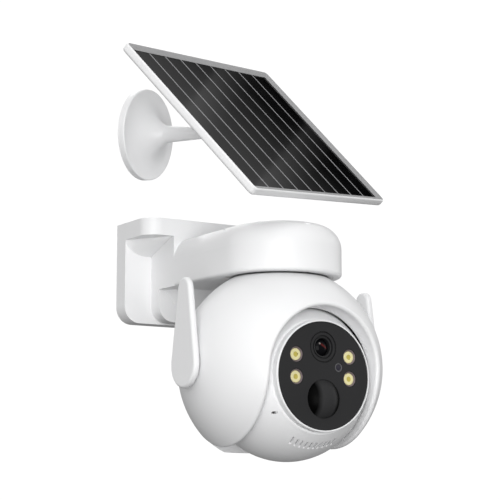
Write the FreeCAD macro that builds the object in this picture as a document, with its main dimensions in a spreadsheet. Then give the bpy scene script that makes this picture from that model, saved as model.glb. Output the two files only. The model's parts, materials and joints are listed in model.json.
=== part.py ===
"""Solar-powered pan and tilt security camera with its separate solar panel on a ball bracket.

Row frame: millimetres, +Z up, the wall at +Y and the camera looking towards -Y. The origin is the
centre of the camera bracket's wall face.
"""

import FreeCAD
import Part
import Sketcher
import math
import os

V = FreeCAD.Vector
X_AXIS = V(1, 0, 0)
Y_AXIS = V(0, 1, 0)
Z_AXIS = V(0, 0, 1)

doc = FreeCAD.newDocument("solar_camera")

# ---------------------------------------------------------------------------------------------
# Driving dimensions
# ---------------------------------------------------------------------------------------------

AERIAL_SKIN = 1.2
SPIGOT_R = 3.1
FACE_SEAT = 31.2

DIMENSIONS = {
    # bracket and arm
    "pan_offset": 94.1,
    "head_drop": 58.6,
    "bracket_half_width": 50.5,
    "bracket_half_height": 28.6,
    "bracket_plate": 10.5,
    "bracket_corner": 9.5,
    "hood_depth": 36.8,
    "hood_under": 18.8,
    "hood_corner": 9.2,
    "spine_depth": 20.1,
    "spine_bottom": 28.0,
    "scoop_reach": 23.7,
    "scoop_half_width": 14.5,
    "scoop_height": 8.8,
    "scoop_centre": 36.0,
    "arm_half_width": 33.6,
    "arm_top": 18.4,
    "arm_under": 9.6,
    "arm_top_round": 13.0,
    "arm_under_round": 1.6,
    "arm_wall": 2.5,
    "cover_gap": 0.1,
    "cover_back": 36.0,
    "cover_half_width": 28.9,
    "wall_plate_width": 84.0,
    "wall_plate_height": 44.0,
    "wall_plate_thick": 2.0,
    "wall_hole_span_x": 60.0,
    "wall_hole_span_z": 28.0,
    "wall_hole_r": 2.3,
    # battery
    "cell_r": 9.2,
    "cell_length": 64.0,
    "cell_z": 5.6,
    "cell_back": 12.0,
    "cell_tip_r": 2.9,
    # pan drive
    "motor_r": 14.0,
    "motor_height": 17.6,
    "motor_offset": 8.0,
    "motor_under": 2.6,
    "motor_ear": 17.5,
    "shaft_r": 2.5,
    "running_gap": 0.05,
    "neck_r": 19.45,
    "neck_bore": 16.0,
    "neck_flange_r": 22.5,
    "neck_flange": 2.0,
    # head
    "ball_r": 55.0,
    "ball_wall": 2.5,
    "ball_flat": 44.3,
    "ball_top": 48.4,
    "slot_half_width": 33.05,
    "slot_arch_z": 3.7,
    "slot_wall": 2.4,
    "slot_back": 27.0,
    "slot_edge": 1.4,
    "rear_cut": 38.0,
    # tilting eye
    "eye_r": 43.35,
    "eye_wall": 2.2,
    "eye_half_width": 31.9,
    "eye_forward": 5.92,
    "eye_drop": 6.65,
    "eye_sweep": 46.9,
    "lip_sweep": 44.6,
    "eye_split": 8.0,
    "face_front": 34.95,
    "face_r": 28.1,
    "face_thick": 2.4,
    "bezel_r": 29.0,
    "lens_z": 14.85,
    "lens_r": 8.2,
    "lens_inner_r": 5.5,
    "pir_z": 11.95,
    "pir_r": 10.0,
    "pir_rise": 6.0,
    "led_x": 16.6,
    "led_upper_z": 10.4,
    "led_lower_z": 1.05,
    "led_r": 4.0,
    "light_x": 9.7,
    "light_z": 4.65,
    "light_r": 2.4,
    # antennas
    "aerial_x": 57.5,
    "aerial_thick": 3.6,
    "aerial_pivot_y": 2.0,
    "aerial_lobe_r": 12.7,
    "aerial_tip_r": 6.1,
    "aerial_tip_rise": 39.3,
    "aerial_tip_lean": 0.2,
    "aerial_round": 1.6,
    "aerial_pin_r": 2.6,
    # service port on the arm's right side
    "port_front": 96.5,
    "port_back": 72.5,
    "port_low": 5.5,
    "port_high": 2.5,
    "port_recess": 1.6,
    "flap_gap": 0.2,
    # solar unit
    "base_x": 40.3,
    "base_y": 11.5,
    "base_z": 81.3,
    "base_yaw": 28.9,
    "base_lean": 4.8,
    "base_r": 26.4,
    "base_rim": 3.2,
    "base_screw_circle": 16.0,
    "base_screw_r": 2.1,
    "stem_root_r": 4.9,
    "stem_root": 16.3,
    "stem_tip_r": 3.3,
    "stem_tip": 40.7,
    "joint_ball": 53.6,
    "joint_ball_r": 7.0,
    "stud_r": 2.2,
    "panel_yaw": 20.8,
    "panel_tilt": 40.4,
    "panel_roll": 9.3,
    "panel_stand": 20.0,
    "panel_shift": 15.8,
    "panel_length": 148.4,
    "panel_width": 113.8,
    "panel_depth": 5.0,
    "panel_border": 4.2,
    "panel_slope": 1.4,
    "panel_corner": 2.0,
    "laminate": 1.8,
}

sheet = doc.addObject("Spreadsheet::Sheet", "Dims")
for row, (alias, value) in enumerate(DIMENSIONS.items(), start=1):
    sheet.set(f"A{row}", alias)
    sheet.set(f"B{row}", str(value))
    sheet.setAlias(f"B{row}", alias)
doc.recompute()


class Size:
    """A length or angle: its value, and the expression on the sheet that gives it."""

    def __init__(self, value, text):
        self.value = value
        self.text = text

    def __float__(self):
        return float(self.value)

    def __neg__(self):
        return Size(-self.value, f"(-{self.text})")

    def __add__(self, other):
        other = as_size(other)
        return Size(self.value + other.value, f"({self.text} + {other.text})")

    def __sub__(self, other):
        other = as_size(other)
        return Size(self.value - other.value, f"({self.text} - {other.text})")

    def __mul__(self, other):
        other = as_size(other)
        return Size(self.value * other.value, f"({self.text} * {other.text})")

    def __truediv__(self, other):
        other = as_size(other)
        return Size(self.value / other.value, f"({self.text} / {other.text})")

    def __radd__(self, other):
        return as_size(other) + self

    def __rsub__(self, other):
        return as_size(other) - self

    def __rmul__(self, other):
        return as_size(other) * self


def as_size(quantity):
    if isinstance(quantity, Size):
        return quantity
    return Size(float(quantity), f"({float(quantity)})")


class Sheet:
    """The driving dimensions by name, such as d.ball_r."""

    def __getattr__(self, alias):
        return Size(float(sheet.get(alias)), f"Dims.{alias}")


d = Sheet()


# ---------------------------------------------------------------------------------------------
# Building blocks
# ---------------------------------------------------------------------------------------------

TURNS = {
    "X": FreeCAD.Rotation(Z_AXIS, X_AXIS),
    "-X": FreeCAD.Rotation(Z_AXIS, -X_AXIS),
    "Y": FreeCAD.Rotation(Z_AXIS, Y_AXIS),
    "-Y": FreeCAD.Rotation(Z_AXIS, -Y_AXIS),
    "Z": FreeCAD.Rotation(),
}
nodes = {}


def drive(obj, prop, quantity):
    if isinstance(quantity, Size):
        obj.setExpression(prop, quantity.text)
    else:
        setattr(obj, prop, quantity)


def place(obj, at, rotation=FreeCAD.Rotation()):
    obj.Placement = FreeCAD.Placement(V(*[float(c) for c in at]), rotation)
    for letter, quantity in zip("xyz", at):
        if isinstance(quantity, Size):
            obj.setExpression(f"Placement.Base.{letter}", quantity.text)
    return obj


def primitive(kind, at, rotation, **sizes):
    obj = doc.addObject(f"Part::{kind}", kind)
    for prop, quantity in sizes.items():
        drive(obj, prop, quantity)
    return place(obj, at, rotation)


def cylinder(radius, height, at, axis="Z"):
    return primitive("Cylinder", at, TURNS[axis], Radius=radius, Height=height)


def cone(radius1, radius2, height, at, axis="Z"):
    return primitive("Cone", at, TURNS[axis], Radius1=radius1, Radius2=radius2, Height=height)


def ball(radius, at=(0, 0, 0)):
    return primitive("Sphere", at, FreeCAD.Rotation(), Radius=radius)


def block(x, y, z):
    """A box given by its (low, high) pair along each axis."""
    corner = (x[0], y[0], z[0])
    sizes = {"Length": x[1] - x[0], "Width": y[1] - y[0], "Height": z[1] - z[0]}
    return primitive("Box", corner, FreeCAD.Rotation(), **sizes)


def either(quantity):
    return (-quantity, quantity)


def fuse(*shapes):
    if len(shapes) == 1:
        return shapes[0]
    obj = doc.addObject("Part::MultiFuse", "Fuse")
    obj.Shapes = list(shapes)
    return obj


def common(*shapes):
    obj = doc.addObject("Part::MultiCommon", "Common")
    obj.Shapes = list(shapes)
    return obj


def cut(base, *tools):
    obj = doc.addObject("Part::Cut", "Cut")
    obj.Base = base
    obj.Tool = fuse(*tools)
    return obj


def rounded(obj, radius, wanted):
    """Rounds the edges of a shape that the test picks."""
    doc.recompute()
    edges = obj.Shape.Edges
    picked = [(i, float(radius), float(radius)) for i, e in enumerate(edges, start=1) if wanted(e)]
    feature = doc.addObject("Part::Fillet", "Fillet")
    feature.Base = obj
    feature.Edges = picked
    return feature


def lies_at(edge, letter, quantity):
    """True where the whole edge lies in the plane letter = quantity."""
    box = edge.BoundBox
    low = getattr(box, f"{letter}Min")
    high = getattr(box, f"{letter}Max")
    return abs(low - float(quantity)) < 1e-4 and abs(high - float(quantity)) < 1e-4


def group(*shapes):
    """Separate solids that are one sub-part, such as a set of screws."""
    obj = doc.addObject("Part::Compound", "Group")
    obj.Links = list(shapes)
    return obj


def node(label, obj, at=(0, 0, 0), rotation=FreeCAD.Rotation()):
    """Names a finished sub-part and puts it in the row frame."""
    if obj.TypeId in ("Part::Cylinder", "Part::Box"):
        obj = group(obj)
    place(obj, at, rotation)
    obj.Label = label
    nodes[label] = obj
    return obj


def origin_plane(body, role):
    return next(f for f in body.Origin.OriginFeatures if f.Role == role)


def sketch_on(body, role):
    sketch = body.newObject("Sketcher::SketchObject", "Sketch")
    sketch.AttachmentSupport = (origin_plane(body, role), [""])
    sketch.MapMode = "FlatFace"
    return sketch


def pin_point(sketch, geometry, position, x, y):
    """Fixes a sketch point at (x, y) from the sketch origin."""
    for kind, axis, quantity in (("DistanceX", -2, x), ("DistanceY", -1, y)):
        if abs(float(quantity)) < 1e-9:
            sketch.addConstraint(Sketcher.Constraint("PointOnObject", geometry, position, axis))
            continue
        rule = Sketcher.Constraint(kind, -1, 1, geometry, position, float(quantity))
        index = sketch.addConstraint(rule)
        if isinstance(quantity, Size):
            sketch.setExpression(f"Constraints[{index}]", quantity.text)


def draw_outline(sketch, points):
    """A closed outline of straight runs through the given points."""
    first = sketch.GeometryCount
    count = len(points)
    corners = [V(float(x), float(y), 0) for x, y in points]
    for i in range(count):
        sketch.addGeometry(Part.LineSegment(corners[i], corners[(i + 1) % count]), False)
    for i in range(count):
        following = first + (i + 1) % count
        sketch.addConstraint(Sketcher.Constraint("Coincident", first + i, 2, following, 1))
    for i, (x, y) in enumerate(points):
        pin_point(sketch, first + i, 1, x, y)


def draw_rectangle(sketch, half_x, half_y):
    draw_outline(sketch, [(-half_x, -half_y), (half_x, -half_y), (half_x, half_y), (-half_x, half_y)])


def draw_circle(sketch, x, y, radius):
    index = sketch.addGeometry(Part.Circle(V(float(x), float(y), 0), Z_AXIS, float(radius)), False)
    rule = sketch.addConstraint(Sketcher.Constraint("Radius", index, float(radius)))
    if isinstance(radius, Size):
        sketch.setExpression(f"Constraints[{rule}]", radius.text)
    pin_point(sketch, index, 3, x, y)


def new_body(label):
    return doc.addObject("PartDesign::Body", label)


def pad(body, sketch, length, reverse=False, middle=False):
    feature = body.newObject("PartDesign::Pad", "Pad")
    feature.Profile = sketch
    drive(feature, "Length", length)
    feature.Reversed = reverse
    feature.Midplane = middle
    doc.recompute()
    return feature


def turned(label, points, role="XZ_Plane"):
    """A lathe-turned body: (radius, height) points revolved about the sketch's vertical axis."""
    body = new_body(label)
    sketch = sketch_on(body, role)
    draw_outline(sketch, points)
    feature = body.newObject("PartDesign::Revolution", "Revolution")
    feature.Profile = sketch
    feature.ReferenceAxis = (sketch, ["V_Axis"])
    feature.Angle = 360.0
    doc.recompute()
    return body


def fillet_body(body, radius, wanted):
    """Rounds the edges of a PartDesign body's tip that the test picks."""
    doc.recompute()
    tip = body.Tip
    names = [f"Edge{i}" for i, edge in enumerate(tip.Shape.Edges, start=1) if wanted(edge)]
    feature = body.newObject("PartDesign::Fillet", "Fillet")
    feature.Base = (tip, names)
    drive(feature, "Radius", radius)
    doc.recompute()
    return feature


def screw(head_r, head, shank_r, shank, at, axis):
    """A screw whose shank runs along the axis from the point and whose head is on the other side."""
    back = {"X": "-X", "-X": "X", "Y": "-Y", "-Y": "Y"}.get(axis)
    if axis == "Z":
        low = (at[0], at[1], at[2] - head)
        return fuse(cylinder(head_r, head, low), cylinder(shank_r, shank, at))
    return fuse(cylinder(head_r, head, at, back), cylinder(shank_r, shank, at, axis))


# ---------------------------------------------------------------------------------------------
# Wall bracket and arm
# ---------------------------------------------------------------------------------------------

def stadium(half_width, back, low, high):
    """An arm-shaped prism: straight sides, round front end on the pan axis."""
    front = -d.pan_offset
    disc = cylinder(half_width, high - low, (0, front, low))
    straight = block(either(half_width), (front, back), (low, high))
    shape = fuse(disc, straight)
    shape.Refine = True
    return shape


def upright(edge):
    box = edge.BoundBox
    return box.XLength < 1e-4 and box.YLength < 1e-4


def along_wall_normal(edge):
    box = edge.BoundBox
    return box.XLength < 1e-4 and box.ZLength < 1e-4


def arm_bracket():
    """One moulding: wall plate, hood, spine, hollow arm, and the bosses inside the arm."""
    top = d.bracket_half_height
    bottom = -d.bracket_half_height
    width = either(d.bracket_half_width)
    plate = rounded(block(width, (-d.bracket_plate, 0), (bottom, top)), d.bracket_corner,
                    lambda e: along_wall_normal(e) and e.BoundBox.ZMax < 0)
    hood = rounded(block(width, (-d.hood_depth, 0), (d.hood_under, top)), d.hood_corner,
                   lambda e: upright(e) and e.BoundBox.YMax < -1)
    spine = rounded(block(either(d.arm_half_width), (-d.spine_depth, 0), (-d.spine_bottom, d.arm_top)),
                    d.bracket_corner, lambda e: along_wall_normal(e) and e.BoundBox.ZMax < 0)
    arm = stadium(d.arm_half_width, 0, -d.arm_under, d.arm_top)
    arm = rounded(arm, d.arm_top_round, lambda e: lies_at(e, "Z", d.arm_top) and not lies_at(e, "Y", 0))
    arm = rounded(arm, d.arm_under_round,
                  lambda e: lies_at(e, "Z", -d.arm_under) and not lies_at(e, "Y", 0))
    root = block(either(d.arm_half_width), (-d.hood_depth, 0), (-d.arm_under, d.hood_under + 1))
    scoops = [scoop(side) for side in (-1, 1)]
    solid = fuse(plate, hood, spine, root, arm, keel(), *scoops)

    inside = d.arm_half_width - d.arm_wall
    ceiling = d.arm_top - d.arm_wall
    floor = -d.arm_under + d.arm_wall
    rear = -d.bracket_plate + 1
    cavity = stadium(inside, rear, floor, ceiling)
    cavity = rounded(cavity, d.arm_top_round - d.arm_wall,
                     lambda e: lies_at(e, "Z", ceiling) and not lies_at(e, "Y", rear))
    opening = stadium(d.cover_half_width + d.cover_gap, -d.cover_back, -d.arm_under - 1, floor + 0.01)
    recess = block(either(d.wall_plate_width / 2 + 0.2), (-8.0, 0),
                   either(d.wall_plate_height / 2 + 0.2))
    lead_way = cylinder(4.0, 6.0, (0, -d.bracket_plate - 1, 0), "Y")
    shell = cut(solid, cavity, opening, recess, lead_way)

    boss_top = ceiling + 0.5
    bosses = []
    holes = []
    for x, y in cover_screw_points():
        bosses.append(cylinder(3.0, boss_top - floor, (x, y, floor)))
        holes.append(cylinder(1.0, 9.0, (x, y, floor)))
    for side in (-1, 1):
        x = side * d.motor_ear
        y = -d.pan_offset - d.motor_offset
        low = -d.motor_under + 0.8
        bosses.append(cylinder(3.0, boss_top - low, (x, y, low)))
        holes.append(cylinder(1.2, 8.0, (x, y, low)))
    inner = common(fuse(*bosses), stadium(inside + 0.5, rear, floor, boss_top))
    port = block((d.arm_half_width - d.port_recess, d.arm_half_width + 2),
                 (-d.port_front, -d.port_back), (-d.port_low, d.port_high))
    socket_way = block((d.arm_half_width - 5, d.arm_half_width), (-95.2, -85.8), (-3.4, 0.4))
    button_way = cylinder(1.85, 6.0, (d.arm_half_width - 5, -76.0, -1.5), "X")
    node("arm_bracket", cut(fuse(shell, inner), *holes, port, socket_way, button_way))


def scoop(side):
    """The half-cone under the hood that runs from the plate to the hood's front edge."""
    wires = []
    for name, y, scale in (("wide", -d.bracket_plate, 1.0), ("tip", -d.bracket_plate - d.scoop_reach, 0.04)):
        ellipse = doc.addObject("Part::Ellipse", "Ellipse")
        drive(ellipse, "MajorRadius", d.scoop_half_width * scale)
        drive(ellipse, "MinorRadius", d.scoop_height * scale)
        ellipse.Placement = FreeCAD.Placement(V(), FreeCAD.Rotation(X_AXIS, 90))
        place(ellipse, (side * (d.scoop_centre - (1 - scale) * 2), y, d.hood_under),
              FreeCAD.Rotation(X_AXIS, 90))
        wires.append(ellipse)
    loft = doc.addObject("Part::Loft", "Loft")
    loft.Sections = wires
    loft.Solid = True
    loft.Ruled = True
    return loft


def keel():
    """The gusset between the arm's underside and the spine."""
    spine = -float(d.spine_depth) + 0.5
    under = -float(d.arm_under) + 0.5
    low = -float(d.spine_bottom) + 1.2
    toe = spine - 12.0
    corners = [V(-31, spine, under), V(31, spine, under), V(16, spine, low), V(-16, spine, low),
               V(-21, toe, under), V(21, toe, under)]
    faces = [(0, 1, 2, 3), (0, 4, 5, 1), (3, 2, 5, 4), (0, 3, 4), (1, 5, 2)]
    shell = []
    for face in faces:
        loop = [corners[i] for i in face] + [corners[face[0]]]
        shell.append(Part.Face(Part.makePolygon(loop)))
    obj = doc.addObject("Part::Feature", "Keel")
    obj.Shape = Part.makeSolid(Part.makeShell(shell))
    return obj


def cover_screw_points():
    return [(-25.2, -82.0), (25.2, -82.0), (0.0, -119.6)]


def wall_plate():
    """The steel plate that is screwed to the wall inside the bracket's back."""
    body = new_body("wall_plate")
    sketch = sketch_on(body, "XZ_Plane")
    draw_rectangle(sketch, d.wall_plate_width / 2, d.wall_plate_height / 2)
    for sx in (-1, 1):
        for sz in (-1, 1):
            draw_circle(sketch, sx * d.wall_hole_span_x / 2, sz * d.wall_hole_span_z / 2, d.wall_hole_r)
    pad(body, sketch, d.wall_plate_thick)
    node("wall_plate", body)


def arm_cover():
    """The plate that closes the arm from below, with the bearing bore for the neck."""
    floor = -d.arm_under + d.arm_wall
    plate = stadium(d.cover_half_width, -d.cover_back - d.cover_gap, -d.arm_under, floor - 0.05)
    bore = cylinder(d.neck_r + d.running_gap, 9.0, (0, -d.pan_offset, -d.arm_under - 3))
    tools = [bore]
    for x, y in cover_screw_points():
        tools.append(cylinder(1.15, 9.0, (x, y, -d.arm_under - 3)))
        tools.append(cylinder(2.2, 1.3, (x, y, -d.arm_under - 0.1)))
    node("arm_cover", cut(plate, *tools))
    screws = []
    for x, y in cover_screw_points():
        screws.append(screw(2.0, 1.1, 1.0, 7.0, (x, y, -d.arm_under + 1.2), "Z"))
    node("arm_cover_screws", group(*screws))


def battery():
    """Three rechargeable cells side by side in the arm, on a ribbed tray."""
    cells = []
    for i in (-1, 0, 1):
        x = i * (2 * d.cell_r + 0.5)
        tip = cylinder(d.cell_tip_r, 1.0, (x, -d.cell_back - d.cell_length - 1, d.cell_z), "Y")
        cells.append(fuse(cylinder(d.cell_r, d.cell_length, (x, -d.cell_back - d.cell_length, d.cell_z), "Y"),
                          tip))
    node("battery_cells", group(*cells))
    back = -d.cell_back
    front = -d.cell_back - d.cell_length + 6
    low = -d.arm_under + d.arm_wall
    plate = block(either(28.3), (front, back), (low, low + 1.6))
    ribs = []
    for x in (-27.5, -9.45, 9.45, 27.5):
        ribs.append(block((x - 0.8, x + 0.8), (front, back), (low, low + 5.0)))
    pitch = 2 * d.cell_r + 0.5
    rounds = [cylinder(d.cell_r + 0.05, d.cell_length + 4, (i * pitch, front - 2, d.cell_z), "Y")
              for i in (-1, 0, 1)]
    node("battery_tray", cut(fuse(plate, *ribs), *rounds))


# ---------------------------------------------------------------------------------------------
# Pan drive
# ---------------------------------------------------------------------------------------------

def pan_drive():
    """Geared stepper in the arm, its output shaft, and the neck that carries the head."""
    axis_y = -d.pan_offset
    can_y = -d.pan_offset - d.motor_offset
    under = -d.motor_under
    can = cylinder(d.motor_r, d.motor_height, (0, can_y, under))
    ears = block(either(d.motor_ear + 3), (can_y - 3.5, can_y + 3.5), (under, under + 0.8))
    boss = cylinder(4.5, 1.2, (0, axis_y, under - 1.2))
    bore = cylinder(d.shaft_r + d.running_gap, 9.0, (0, axis_y, under - 2))
    ear_holes = [cylinder(1.4, 3.0, (side * d.motor_ear, can_y, under - 1)) for side in (-1, 1)]
    node("pan_motor", cut(fuse(can, ears, boss), bore, *ear_holes))
    screws = [screw(2.1, 1.0, 1.2, 5.0, (side * d.motor_ear, can_y, under), "Z") for side in (-1, 1)]
    node("pan_motor_screws", group(*screws))
    flange = -d.arm_under + d.arm_wall
    shaft = cylinder(d.shaft_r, 8.0, (0, 0, 0))
    node("pan_shaft", shaft, (0, axis_y, flange + 0.2))

    bottom = -d.arm_under - (49.0 - d.ball_top)
    top = flange + d.neck_flange
    hub = top + 1.0
    web = flange + 0.2
    profile = [(d.shaft_r, web), (d.neck_bore, web), (d.neck_bore, bottom), (d.neck_r, bottom),
               (d.neck_r, flange), (d.neck_flange_r, flange), (d.neck_flange_r, top), (6.0, top),
               (6.0, hub), (d.shaft_r, hub)]
    collar = turned("NeckCollar", profile)
    ways = [cylinder(3.0, 12.0, (11 * math.cos(a), 11 * math.sin(a), float(flange) - 4))
            for a in (math.radians(120 * i + 90) for i in range(3))]
    screw_ways = [cylinder(0.9, 5.5, (x, y, bottom)) for x, y in neck_screw_points()]
    node("neck_collar", cut(collar, *ways, *screw_ways), (0, axis_y, 0))
    low = d.ball_top - 2.8
    screws = [screw(1.8, 1.2, 0.9, 6.8, (x, y, low), "Z") for x, y in neck_screw_points()]
    node("neck_screws", group(*screws), head_at())


def neck_screw_points():
    angles = [math.radians(120 * i + 30) for i in range(3)]
    return [(17.7 * math.cos(a), 17.7 * math.sin(a)) for a in angles]


def head_at():
    """The ball's centre."""
    return (0, -d.pan_offset, -d.head_drop)


def eye_at():
    """The tilt axis, where the eye's own frame sits."""
    return (0, -d.pan_offset - d.eye_forward, -d.head_drop - d.eye_drop)


# ---------------------------------------------------------------------------------------------
# Panning head
# ---------------------------------------------------------------------------------------------

def flat_ball(radius, low, high, rear=None):
    """The head's ball, cut flat below and above and, if given, at the rear."""
    limits = block((-60, 60), (-60, 60 if rear is None else rear), (low, high))
    return common(ball(radius), limits)


def arch(half_width, front, back):
    """The slot's outline, round above and straight below, as a prism from front to back."""
    round_part = cylinder(half_width, back - front, (0, front, -d.slot_arch_z), "Y")
    straight = block(either(half_width), (front, back), (-60, -d.slot_arch_z))
    return fuse(round_part, straight)


def on_slot_edge(edge):
    """True where the edge is on the ball's surface and follows the slot's outline."""
    ball_r = float(d.ball_r)
    half = float(d.slot_half_width)
    arch_z = float(d.slot_arch_z)
    step = (edge.LastParameter - edge.FirstParameter) / 4
    points = [edge.valueAt(edge.FirstParameter + i * step) for i in range(5)]

    def off_axis(point):
        return math.hypot(point.x, max(point.z + arch_z, 0.0))

    return all(abs(p.Length - ball_r) < 0.01 and abs(off_axis(p) - half) < 0.02 for p in points)


def head_shell():
    """The outer ball: slot for the eye, cheeks each side of it, neck hole, open rear."""
    outer = flat_ball(d.ball_r, -d.ball_flat, d.ball_top, d.rear_cut)
    hollow = flat_ball(d.ball_r - d.ball_wall, -d.ball_flat + d.ball_wall, d.ball_top - 2.8)
    lip = arch(d.slot_half_width + d.slot_wall, -60, -20)
    cheeks = block(either(d.slot_half_width + d.slot_wall), (-60, d.slot_back + d.slot_wall), (-60, 9.5))
    liner = common(fuse(lip, cheeks), flat_ball(d.ball_r, -d.ball_flat, d.ball_top, d.rear_cut))
    solid = fuse(cut(outer, hollow), liner)
    slot = arch(d.slot_half_width, -60, d.slot_back)
    sweep = ball(d.lip_sweep, (0, -d.eye_forward, -d.eye_drop))
    between_cheeks = block(either(d.slot_half_width), (-60, 60), (-60, d.ball_top - 2.8))
    tools = [slot, common(sweep, between_cheeks)]
    tools.append(cylinder(15.0, 10.0, (0, 0, d.ball_top - 6)))
    for x, y in neck_screw_points():
        tools.append(cylinder(1.0, 6.0, (x, y, d.ball_top - 4)))
    tools.append(cylinder(4.0, 6.0, (-d.slot_half_width - 4, -d.eye_forward, -d.eye_drop), "X"))
    tools.append(cylinder(6.0, 6.0, (d.slot_half_width - 1, -d.eye_forward, -d.eye_drop), "X"))
    for side in (-1, 1):
        start = (side * 48.0, d.aerial_pivot_y, 0)
        tools.append(cylinder(d.aerial_pin_r, 12.0, start, "X" if side > 0 else "-X"))
    shell = cut(solid, *tools)
    bosses = []
    for x, z in rear_screw_points():
        post = cylinder(2.8, 5.0, (x, d.rear_cut - 5, z), "Y")
        bosses.append(cut(post, cylinder(1.0, 6.0, (x, d.rear_cut - 5.5, z), "Y")))
    node("head_shell", rounded(fuse(shell, *bosses), d.slot_edge, on_slot_edge), head_at())


def rear_screw_points():
    return [(sx * 32.0, sz * 13.0) for sx in (-1, 1) for sz in (-1, 1)]


def rear_cover():
    """The cap that closes the back of the head, with its seal and screws."""
    gap = 0.6
    start = d.rear_cut + gap
    zone = block((-60, 60), (start, 60), (-60, 60))
    cap = common(ball(d.ball_r), zone)
    hollow = cut(ball(d.ball_r - d.ball_wall), *[
        cylinder(4.2, 30.0, (x, 30.0, z), "Y") for x, z in rear_screw_points()])
    holes = []
    for x, z in rear_screw_points():
        holes.append(cylinder(1.1, 30.0, (x, 30.0, z), "Y"))
        holes.append(cylinder(2.5, 20.0, (x, 41.2, z), "Y"))
    node("rear_cover", cut(cap, hollow, *holes), head_at())

    seal = cut(cylinder(39.4, 0.6, (0, d.rear_cut, 0), "Y"), cylinder(36.9, 0.6, (0, d.rear_cut, 0), "Y"))
    node("rear_seal", seal, head_at())
    screws = [screw(2.3, 1.5, 1.0, 7.0, (x, 41.2, z), "-Y") for x, z in rear_screw_points()]
    node("rear_cover_screws", group(*screws), head_at())


def head_chassis():
    """The curved bulkhead behind the eye that keeps rain off the electronics."""
    width = either(d.slot_half_width + d.slot_wall - 0.2)
    centre = (0, -d.eye_forward, -d.eye_drop)
    dome = common(ball(d.eye_sweep + 1.5, centre), block(width, (-20, 60), (-60, 60)))
    inner = common(ball(d.eye_sweep, centre), block(either(d.slot_half_width), (-60, 60), (-60, 60)))
    front_low = block((-60, 60), (-60, d.slot_back + d.slot_wall + 0.2), (-60, 9.7))
    limit = flat_ball(d.ball_r - d.ball_wall - 0.3, -d.ball_flat + d.ball_wall + 0.2, d.ball_top - 4.2)
    side_ways = cylinder(5.0, 90.0, (-45, 14, 20), "X")
    node("head_chassis", common(cut(dome, inner, front_low, side_ways), limit), head_at())


def main_board():
    """Circuit board with its processor, memory, radio module and connectors."""
    y = 43.5
    board = block(either(17.0), (y, y + 1.4), either(15.0))
    parts = [board, block((-8, 4), (y + 1.4, y + 2.9), (-3, 9)), block((6, 14), (y + 1.4, y + 2.6), (-2, 6)),
             block((-12, 12), (y + 1.4, y + 3.9), (-13, -9)), block((8, 15), (y + 1.4, y + 3.4), (8, 13))]
    node("main_board", fuse(*parts), head_at())


def tilt_drive():
    """Small stepper on the left cheek, the shaft that it turns, and the bush on the right cheek."""
    y = -d.eye_forward
    z = -d.eye_drop
    cheek = d.slot_half_width + d.slot_wall
    can = cylinder(12.0, 12.0, (-cheek, y + 7, z), "-X")
    bore = cylinder(d.shaft_r + d.running_gap, 6.0, (-cheek - 5, y, z), "X")
    node("tilt_motor", cut(can, bore), head_at())
    node("tilt_shaft", cylinder(d.shaft_r, 14.0, (-40.2, 0, 0), "X"), eye_at())
    bush = cut(fuse(cylinder(6.0, d.slot_wall, (d.slot_half_width, y, z), "X"),
                    cylinder(7.5, 1.0, (cheek, y, z), "X")),
               cylinder(4.05, 9.0, (d.slot_half_width - 2, y, z), "X"))
    node("tilt_bush", bush, head_at())
    pin = cut(cylinder(4.0, 13.0, (24.0, 0, 0), "X"), cylinder(2.4, 15.0, (23.0, 0, 0), "X"))
    node("trunnion_pin", pin, eye_at())


# ---------------------------------------------------------------------------------------------
# Tilting eye
# ---------------------------------------------------------------------------------------------

EYE_SCREW_X = 23.0
EYE_SCREW_Z = 30.0
GRILLE_SLOTS = 10
GRILLE_HALF_SPAN = 13.0
GRILLE_FRONT = -26.8
GRILLE_BACK = -22.4
SLIT_HALF = 0.6
MIC_Z = -19.4
MIC_ENDS = (-26.7, -25.3)


def eye_solid(radius, half_width):
    return common(ball(radius), block(either(half_width), (-60, 60), (-60, 60)))


def eye_screw_points():
    return [(sx * EYE_SCREW_X, sz * EYE_SCREW_Z) for sx in (-1, 1) for sz in (-1, 1)]


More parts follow.
